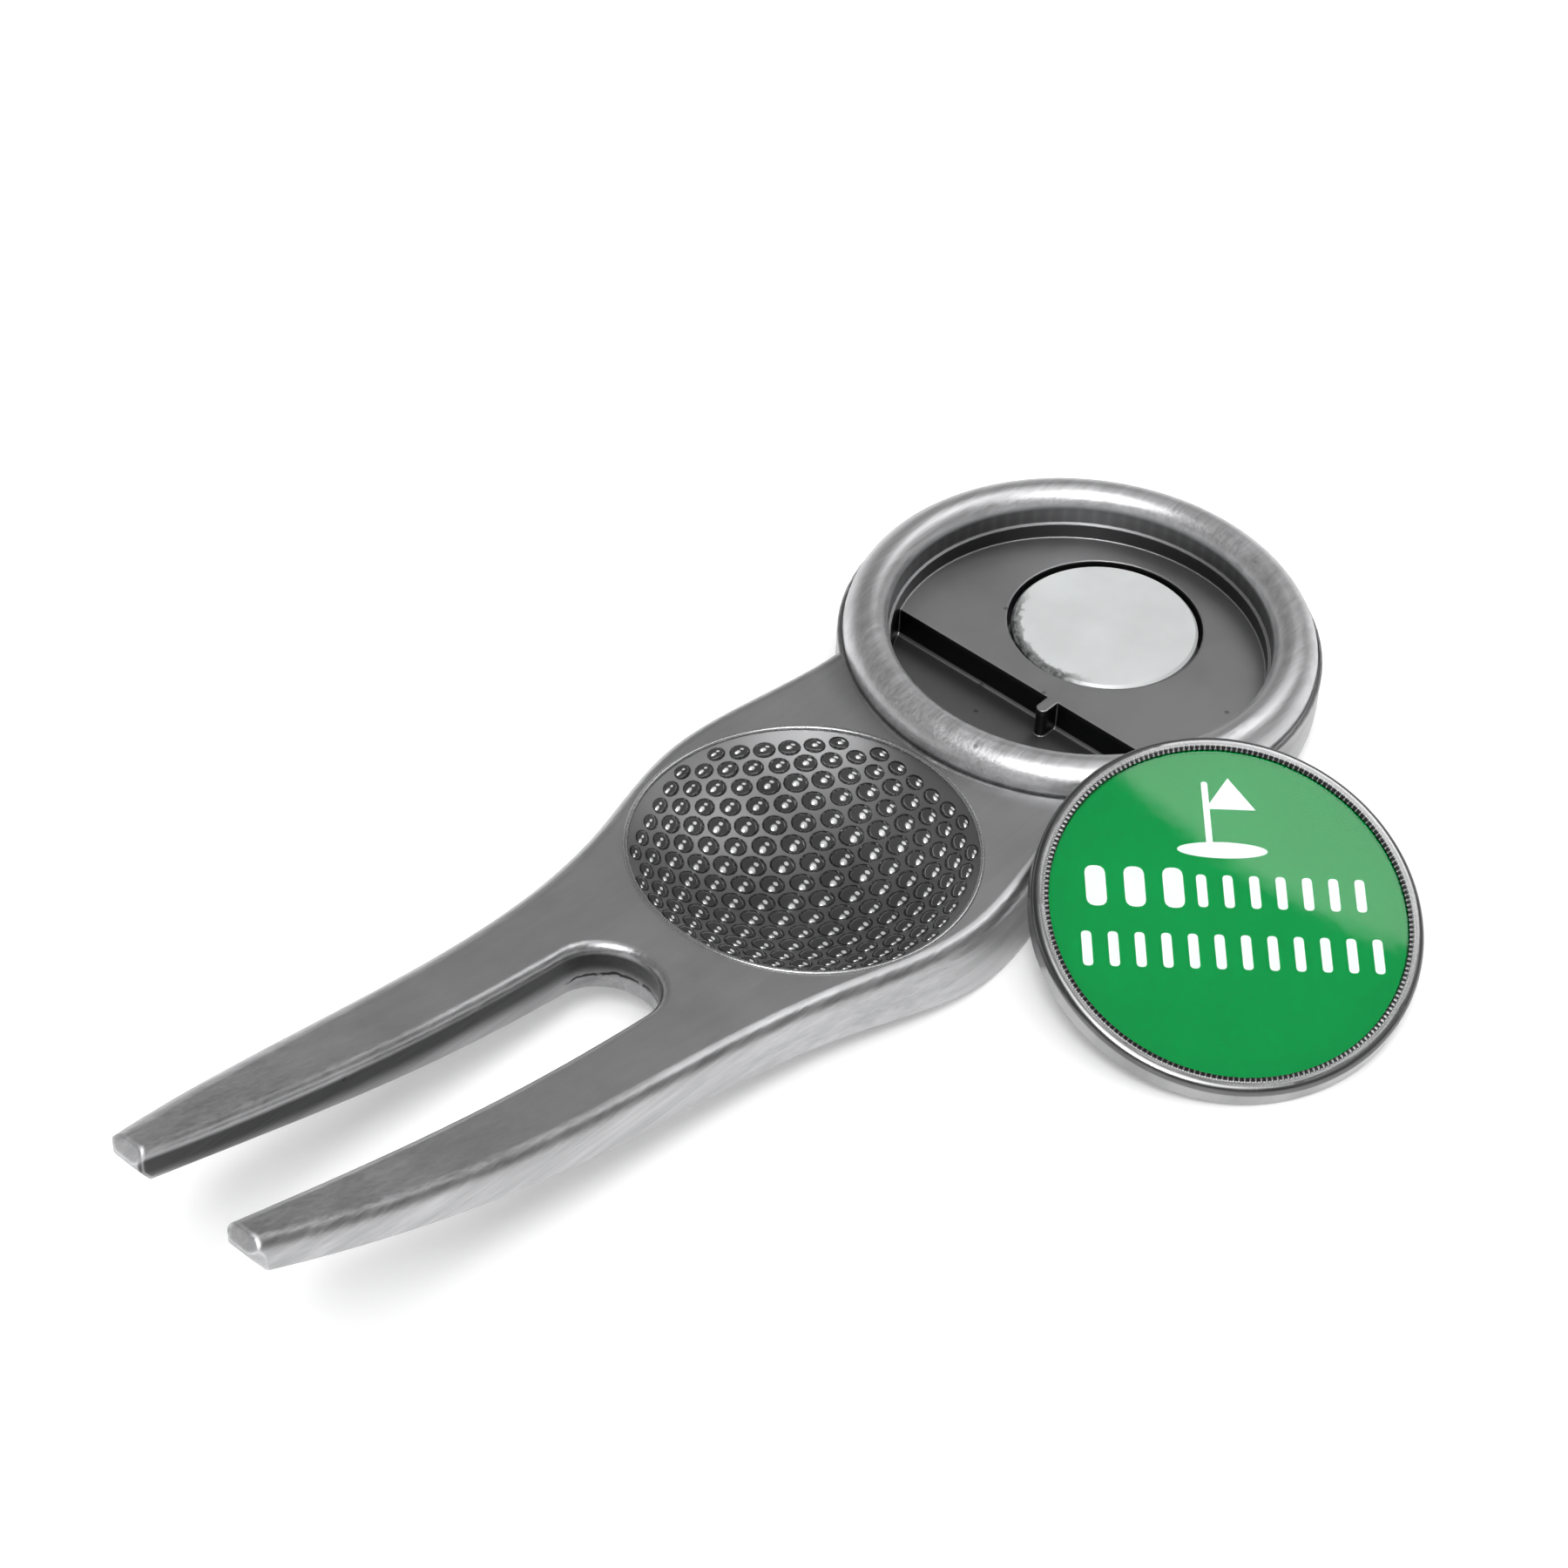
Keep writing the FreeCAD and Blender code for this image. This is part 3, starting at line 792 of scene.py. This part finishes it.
def make_motif():
    """Plain flag over a putting green, above two rows of plain blocks, in white."""
    plates = [
        ink_block(*POLE),
        ink_disc(*PUTTING_GREEN, sides=32),
        ink_disc(*FLAG, sides=3),
    ]
    for row in ROWS_OF_BLOCKS:
        plates += row_of_blocks(*row)
    motif = join_all(plates)
    motif.name = "marker_motif"
    lay_on_marker(motif)
    paint(motif, make_white_ink())
    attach(motif, "marker")


# ---- finishes ------------------------------------------------------------------------
for node, finish in (
    ("tool_body", make_tool_metal()),
    ("magnet", make_magnet_metal()),
    ("magnet_adhesive", make_adhesive()),
    ("marker_cup", make_marker_metal()),
    ("marker_print", make_print_green()),
    ("marker_resin", make_clear_resin()),
):
    paint(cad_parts[node], finish)

make_pips()
make_lip()
make_print_face()
make_motif()


# ---- floor, light and camera ---------------------------------------------------------
def direction(azimuth, elevation):
    a, e = math.radians(azimuth), math.radians(elevation)
    return Vector((math.cos(e) * math.cos(a), math.cos(e) * math.sin(a), math.sin(e)))


def make_floor():
    """Pale table with painted light: it glows a little, lifting the shadows so it stays white round
    the tool.
    """
    deselect()
    bpy.ops.mesh.primitive_plane_add(size=FLOOR_SIZE, location=(0, 0, 0))
    floor = bpy.context.object
    floor.name = "table_top"
    material, b, skin = new_material("pale_table")
    color = b.mix(b.noise(b.place(), 60.0), (0.90, 0.90, 0.905, 1.0), (0.93, 0.93, 0.93, 1.0))
    b.feed(skin.inputs["Base Color"], color)
    skin.inputs["Roughness"].default_value = 0.9
    skin.inputs["Specular IOR Level"].default_value = 0.1
    # painted light: the table glows
    skin.inputs["Emission Color"].default_value = (1.0, 1.0, 1.0, 1.0)
    skin.inputs["Emission Strength"].default_value = FLOOR_GLOW
    paint(floor, material)


def make_world():
    """Soft studio: dim room, paler low down, with the lamps above; the camera sees it white."""
    world = bpy.data.worlds.new("studio")
    bpy.context.scene.world = world
    world.use_nodes = True
    world.node_tree.nodes.clear()
    b = Bench(world.node_tree)
    way = b.add("ShaderNodeTexCoord").outputs["Generated"]
    backdrop = b.ramp(b.split(way)[2], *BACKDROP_HEIGHT)
    light = b.plus(ROOM_LIGHT, b.times(backdrop, BACKDROP_LIGHT))
    for azimuth, elevation, outer, inner, strength in LAMPS:
        lined_up = b.vector("DOT_PRODUCT", way, tuple(direction(azimuth, elevation)))
        edge, full = math.cos(math.radians(outer)), math.cos(math.radians(inner))
        light = b.plus(light, b.times(b.ramp(lined_up, edge, full), strength))
    seen = b.add("ShaderNodeLightPath").outputs["Is Camera Ray"]
    light = b.blend(seen, light, 1.0)
    back = b.add("ShaderNodeBackground")
    b.feed(back.inputs["Color"], b.join(light, light, light))
    out = b.add("ShaderNodeOutputWorld")
    b.feed(out.inputs["Surface"], back.outputs[0])


def make_camera():
    """Looks down on the tool from the prongs' end and the marker's side, rolled a little."""
    away = direction(CAMERA_AZIMUTH, CAMERA_ELEVATION)
    azimuth = math.radians(CAMERA_AZIMUTH)
    roll = math.radians(CAMERA_ROLL)
    level_right = Vector((-math.sin(azimuth), math.cos(azimuth), 0))
    level_up = away.cross(level_right)
    right = level_right * math.cos(roll) + level_up * math.sin(roll)
    up = level_up * math.cos(roll) - level_right * math.sin(roll)
    lens = bpy.data.cameras.new("studio_camera")
    lens.lens = CAMERA_LENS
    lens.sensor_width = 36.0
    lens.clip_start = 0.01
    camera = bpy.data.objects.new("studio_camera", lens)
    bpy.context.collection.objects.link(camera)
    turn = Matrix((right, up, away)).transposed().to_4x4()
    place = Vector(CAMERA_TARGET) * MM + away * CAMERA_DISTANCE
    camera.matrix_world = Matrix.Translation(place) @ turn
    bpy.context.scene.camera = camera


make_floor()
make_world()
make_camera()
bpy.context.scene.view_settings.view_transform = "Standard"
